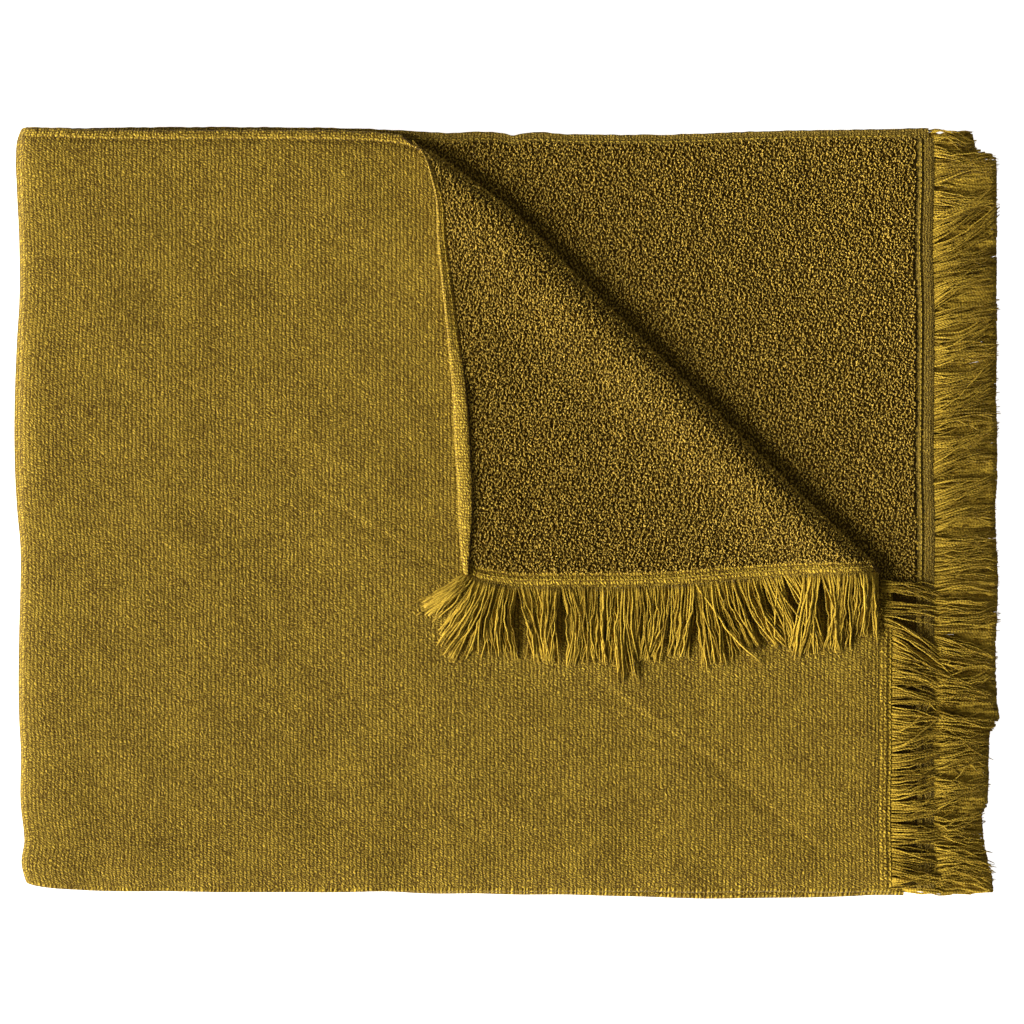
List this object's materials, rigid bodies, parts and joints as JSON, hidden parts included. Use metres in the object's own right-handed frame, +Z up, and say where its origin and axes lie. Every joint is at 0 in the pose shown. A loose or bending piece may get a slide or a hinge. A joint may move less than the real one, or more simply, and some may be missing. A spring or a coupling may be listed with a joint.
{
  "type": "folded throw blanket",
  "caption": "Fringed two-faced cotton throw folded in four, loops inside, one corner turned back; it unfolds at its crosswise fold.",
  "frame": {"origin": "on the resting face, under the middle of the folded throw's box", "axes": "+Z up; +X from the crosswise fold towards the fringed ends; +Y from the lengthwise folds towards the hemmed sides"},
  "size_m": [0.8404, 0.6504, 0.0194],
  "materials": {
    "flat_weave": "matte",
    "looped_face": "matte",
    "hem_cloth": "matte",
    "end_band_cloth": "matte",
    "fringe_yarn": "matte",
    "sewing_thread": "satin"
  },
  "bodies": {
    "lower_half": {"bottom_panel": "flat_weave", "bottom_side_hem": "hem_cloth", "bottom_end_band": "end_band_cloth", "bottom_hem_thread": "sewing_thread", "bottom_end_thread": "sewing_thread", "bottom_fringe": "fringe_yarn", "lower_middle_panel": "flat_weave", "lower_middle_side_hem": "hem_cloth", "lower_middle_end_band": "end_band_cloth", "lower_middle_hem_thread": "sewing_thread", "lower_middle_end_thread": "sewing_thread", "lower_middle_fringe": "fringe_yarn", "lower_side_fold": "flat_weave", "outer_cross_fold": "flat_weave", "inner_cross_fold": "flat_weave", "double_fold_corner": "flat_weave"},
    "upper_half": {"upper_middle_panel": "looped_face", "upper_middle_side_hem": "hem_cloth", "upper_middle_end_band": "end_band_cloth", "upper_middle_hem_thread": "sewing_thread", "upper_middle_end_thread": "sewing_thread", "upper_middle_fringe": "fringe_yarn", "top_panel": "flat_weave", "top_side_hem": "hem_cloth", "top_end_band": "end_band_cloth", "top_hem_thread": "sewing_thread", "top_end_thread": "sewing_thread", "top_fringe": "fringe_yarn", "upper_side_fold": "flat_weave", "corner_crease": "looped_face"},
    "turned_corner": {"turned_corner_panel": "looped_face", "turned_corner_side_hem": "hem_cloth", "turned_corner_end_band": "end_band_cloth", "turned_corner_hem_thread": "sewing_thread", "turned_corner_end_thread": "sewing_thread", "turned_corner_fringe": "fringe_yarn"}
  },
  "joints": [
    {"name": "crosswise_fold", "type": "hinge", "parent": "lower_half", "child": "upper_half", "pos_m": [-0.41275, 0, 0.0075], "axis": [0, -1, 0], "range_deg": [0, 180], "deforming": ["outer_cross_fold", "inner_cross_fold", "double_fold_corner"]},
    {"name": "corner_fold", "type": "hinge", "parent": "upper_half", "child": "turned_corner", "pos_m": [0.1237, 0.13509, 0.0155], "axis": [-0.7311, 0.6823, 0], "range_deg": [0, 180], "deforming": ["corner_crease"]}
  ]
}
